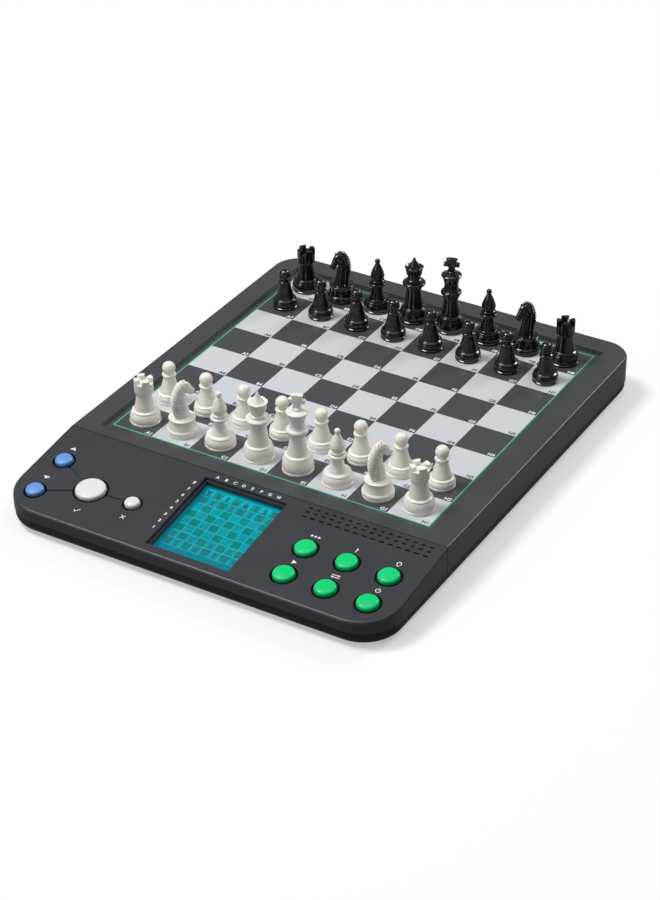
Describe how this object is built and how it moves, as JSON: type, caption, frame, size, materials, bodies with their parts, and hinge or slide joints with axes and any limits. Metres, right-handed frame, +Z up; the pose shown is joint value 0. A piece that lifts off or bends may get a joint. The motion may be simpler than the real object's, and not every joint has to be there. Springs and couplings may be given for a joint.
{
  "type": "electronic chess computer",
  "caption": "Tabletop chess computer: squared playing board in a flat case, sloping panel with round push keys and a display, loose chess men, battery bay under it.",
  "frame": {"origin": "on the table under the middle of the case", "axes": "+X to the player's right, +Y away from the player, along the case, +Z up"},
  "size_m": [0.248, 0.316, 0.0738],
  "materials": {
    "case_plastic": "fine satin grain",
    "board_sheet": "printed film, satin",
    "membrane_film": "printed film",
    "plate_plastic": "moulded",
    "window": "clear, polished",
    "display_glass": "liquid crystal on a lit backing",
    "circuit_laminate": "solder resist",
    "mat_rubber": "matt",
    "speaker_metal": "satin",
    "cell": "printed sleeve",
    "contact_steel": "plated",
    "screw_steel": "plated",
    "foot_rubber": "matt",
    "key_green": "satin",
    "key_blue": "satin",
    "key_white": "satin",
    "white_men": "satin",
    "black_men": "polished"
  },
  "bodies": {
    "chassis": {"base_case": "case_plastic", "board_frame": "case_plastic", "control_panel": "case_plastic", "board_overlay": "board_sheet", "sensor_membrane": "membrane_film", "backing_plate": "plate_plastic", "lcd_window": "window", "lcd_panel": "display_glass", "main_board": "circuit_laminate", "key_mat_left": "mat_rubber", "key_mat_right": "mat_rubber", "speaker": "speaker_metal", "batteries": "cell", "battery_contacts": "contact_steel", "case_screws": "screw_steel", "circuit_screws": "screw_steel", "feet": "foot_rubber"},
    "battery_door": {"battery_door": "case_plastic"},
    "key_up": {"key_up": "key_blue"},
    "key_down": {"key_down": "key_blue"},
    "key_enter": {"key_enter": "key_white"},
    "key_escape": {"key_escape": "key_white"},
    "key_moves": {"key_moves": "key_green"},
    "key_reason": {"key_reason": "key_green"},
    "key_hint": {"key_hint": "key_green"},
    "key_start": {"key_start": "key_green"},
    "key_swap": {"key_swap": "key_green"},
    "key_power": {"key_power": "key_green"},
    "white_rook_a": {"white_rook_a": "white_men"},
    "white_knight_b": {"white_knight_b": "white_men"},
    "white_bishop_c": {"white_bishop_c": "white_men"},
    "white_queen": {"white_queen": "white_men"},
    "white_king": {"white_king": "white_men"},
    "white_bishop_f": {"white_bishop_f": "white_men"},
    "white_knight_g": {"white_knight_g": "white_men"},
    "white_rook_h": {"white_rook_h": "white_men"},
    "white_pawn_a": {"white_pawn_a": "white_men"},
    "white_pawn_b": {"white_pawn_b": "white_men"},
    "white_pawn_c": {"white_pawn_c": "white_men"},
    "white_pawn_d": {"white_pawn_d": "white_men"},
    "white_pawn_e": {"white_pawn_e": "white_men"},
    "white_pawn_f": {"white_pawn_f": "white_men"},
    "white_pawn_g": {"white_pawn_g": "white_men"},
    "white_pawn_h": {"white_pawn_h": "white_men"},
    "black_rook_a": {"black_rook_a": "black_men"},
    "black_knight_b": {"black_knight_b": "black_men"},
    "black_bishop_c": {"black_bishop_c": "black_men"},
    "black_queen": {"black_queen": "black_men"},
    "black_king": {"black_king": "black_men"},
    "black_bishop_f": {"black_bishop_f": "black_men"},
    "black_knight_g": {"black_knight_g": "black_men"},
    "black_rook_h": {"black_rook_h": "black_men"},
    "black_pawn_a": {"black_pawn_a": "black_men"},
    "black_pawn_b": {"black_pawn_b": "black_men"},
    "black_pawn_c": {"black_pawn_c": "black_men"},
    "black_pawn_d": {"black_pawn_d": "black_men"},
    "black_pawn_e": {"black_pawn_e": "black_men"},
    "black_pawn_f": {"black_pawn_f": "black_men"},
    "black_pawn_g": {"black_pawn_g": "black_men"},
    "black_pawn_h": {"black_pawn_h": "black_men"}
  },
  "joints": [
    {"name": "key_up_press", "type": "slide", "parent": "chassis", "child": "key_up", "axis": [0, 0.1305, -0.9914], "range_m": [0, 0.0012], "stiffness_N_per_m": 600, "springref_m": -0.001},
    {"name": "key_down_press", "type": "slide", "parent": "chassis", "child": "key_down", "axis": [0, 0.1305, -0.9914], "range_m": [0, 0.0012], "stiffness_N_per_m": 600, "springref_m": -0.001},
    {"name": "key_enter_press", "type": "slide", "parent": "chassis", "child": "key_enter", "axis": [0, 0.1305, -0.9914], "range_m": [0, 0.0012], "stiffness_N_per_m": 600, "springref_m": -0.001},
    {"name": "key_escape_press", "type": "slide", "parent": "chassis", "child": "key_escape", "axis": [0, 0.1305, -0.9914], "range_m": [0, 0.0012], "stiffness_N_per_m": 600, "springref_m": -0.001},
    {"name": "key_moves_press", "type": "slide", "parent": "chassis", "child": "key_moves", "axis": [0, 0.1305, -0.9914], "range_m": [0, 0.0012], "stiffness_N_per_m": 600, "springref_m": -0.001},
    {"name": "key_reason_press", "type": "slide", "parent": "chassis", "child": "key_reason", "axis": [0, 0.1305, -0.9914], "range_m": [0, 0.0012], "stiffness_N_per_m": 600, "springref_m": -0.001},
    {"name": "key_hint_press", "type": "slide", "parent": "chassis", "child": "key_hint", "axis": [0, 0.1305, -0.9914], "range_m": [0, 0.0012], "stiffness_N_per_m": 600, "springref_m": -0.001},
    {"name": "key_start_press", "type": "slide", "parent": "chassis", "child": "key_start", "axis": [0, 0.1305, -0.9914], "range_m": [0, 0.0012], "stiffness_N_per_m": 600, "springref_m": -0.001},
    {"name": "key_swap_press", "type": "slide", "parent": "chassis", "child": "key_swap", "axis": [0, 0.1305, -0.9914], "range_m": [0, 0.0012], "stiffness_N_per_m": 600, "springref_m": -0.001},
    {"name": "key_power_press", "type": "slide", "parent": "chassis", "child": "key_power", "axis": [0, 0.1305, -0.9914], "range_m": [0, 0.0012], "stiffness_N_per_m": 600, "springref_m": -0.001},
    {"name": "battery_door_hinge", "type": "hinge", "parent": "chassis", "child": "battery_door", "pos_m": [0, 0.06305, 0.0022], "axis": [1, 0, 0], "range_deg": [0, 90]},
    {"name": "white_rook_a_lift", "type": "slide", "parent": "chassis", "child": "white_rook_a", "axis": [0, 0, 1], "range_m": [0, 0.08]},
    {"name": "white_knight_b_lift", "type": "slide", "parent": "chassis", "child": "white_knight_b", "axis": [0, 0, 1], "range_m": [0, 0.08]},
    {"name": "white_bishop_c_lift", "type": "slide", "parent": "chassis", "child": "white_bishop_c", "axis": [0, 0, 1], "range_m": [0, 0.08]},
    {"name": "white_queen_lift", "type": "slide", "parent": "chassis", "child": "white_queen", "axis": [0, 0, 1], "range_m": [0, 0.08]},
    {"name": "white_king_lift", "type": "slide", "parent": "chassis", "child": "white_king", "axis": [0, 0, 1], "range_m": [0, 0.08]},
    {"name": "white_bishop_f_lift", "type": "slide", "parent": "chassis", "child": "white_bishop_f", "axis": [0, 0, 1], "range_m": [0, 0.08]},
    {"name": "white_knight_g_lift", "type": "slide", "parent": "chassis", "child": "white_knight_g", "axis": [0, 0, 1], "range_m": [0, 0.08]},
    {"name": "white_rook_h_lift", "type": "slide", "parent": "chassis", "child": "white_rook_h", "axis": [0, 0, 1], "range_m": [0, 0.08]},
    {"name": "white_pawn_a_lift", "type": "slide", "parent": "chassis", "child": "white_pawn_a", "axis": [0, 0, 1], "range_m": [0, 0.08]},
    {"name": "white_pawn_b_lift", "type": "slide", "parent": "chassis", "child": "white_pawn_b", "axis": [0, 0, 1], "range_m": [0, 0.08]},
    {"name": "white_pawn_c_lift", "type": "slide", "parent": "chassis", "child": "white_pawn_c", "axis": [0, 0, 1], "range_m": [0, 0.08]},
    {"name": "white_pawn_d_lift", "type": "slide", "parent": "chassis", "child": "white_pawn_d", "axis": [0, 0, 1], "range_m": [0, 0.08]},
    {"name": "white_pawn_e_lift", "type": "slide", "parent": "chassis", "child": "white_pawn_e", "axis": [0, 0, 1], "range_m": [0, 0.08]},
    {"name": "white_pawn_f_lift", "type": "slide", "parent": "chassis", "child": "white_pawn_f", "axis": [0, 0, 1], "range_m": [0, 0.08]},
    {"name": "white_pawn_g_lift", "type": "slide", "parent": "chassis", "child": "white_pawn_g", "axis": [0, 0, 1], "range_m": [0, 0.08]},
    {"name": "white_pawn_h_lift", "type": "slide", "parent": "chassis", "child": "white_pawn_h", "axis": [0, 0, 1], "range_m": [0, 0.08]},
    {"name": "black_rook_a_lift", "type": "slide", "parent": "chassis", "child": "black_rook_a", "axis": [0, 0, 1], "range_m": [0, 0.08]},
    {"name": "black_knight_b_lift", "type": "slide", "parent": "chassis", "child": "black_knight_b", "axis": [0, 0, 1], "range_m": [0, 0.08]},
    {"name": "black_bishop_c_lift", "type": "slide", "parent": "chassis", "child": "black_bishop_c", "axis": [0, 0, 1], "range_m": [0, 0.08]},
    {"name": "black_queen_lift", "type": "slide", "parent": "chassis", "child": "black_queen", "axis": [0, 0, 1], "range_m": [0, 0.08]},
    {"name": "black_king_lift", "type": "slide", "parent": "chassis", "child": "black_king", "axis": [0, 0, 1], "range_m": [0, 0.08]},
    {"name": "black_bishop_f_lift", "type": "slide", "parent": "chassis", "child": "black_bishop_f", "axis": [0, 0, 1], "range_m": [0, 0.08]},
    {"name": "black_knight_g_lift", "type": "slide", "parent": "chassis", "child": "black_knight_g", "axis": [0, 0, 1], "range_m": [0, 0.08]},
    {"name": "black_rook_h_lift", "type": "slide", "parent": "chassis", "child": "black_rook_h", "axis": [0, 0, 1], "range_m": [0, 0.08]},
    {"name": "black_pawn_a_lift", "type": "slide", "parent": "chassis", "child": "black_pawn_a", "axis": [0, 0, 1], "range_m": [0, 0.08]},
    {"name": "black_pawn_b_lift", "type": "slide", "parent": "chassis", "child": "black_pawn_b", "axis": [0, 0, 1], "range_m": [0, 0.08]},
    {"name": "black_pawn_c_lift", "type": "slide", "parent": "chassis", "child": "black_pawn_c", "axis": [0, 0, 1], "range_m": [0, 0.08]},
    {"name": "black_pawn_d_lift", "type": "slide", "parent": "chassis", "child": "black_pawn_d", "axis": [0, 0, 1], "range_m": [0, 0.08]},
    {"name": "black_pawn_e_lift", "type": "slide", "parent": "chassis", "child": "black_pawn_e", "axis": [0, 0, 1], "range_m": [0, 0.08]},
    {"name": "black_pawn_f_lift", "type": "slide", "parent": "chassis", "child": "black_pawn_f", "axis": [0, 0, 1], "range_m": [0, 0.08]},
    {"name": "black_pawn_g_lift", "type": "slide", "parent": "chassis", "child": "black_pawn_g", "axis": [0, 0, 1], "range_m": [0, 0.08]},
    {"name": "black_pawn_h_lift", "type": "slide", "parent": "chassis", "child": "black_pawn_h", "axis": [0, 0, 1], "range_m": [0, 0.08]}
  ]
}
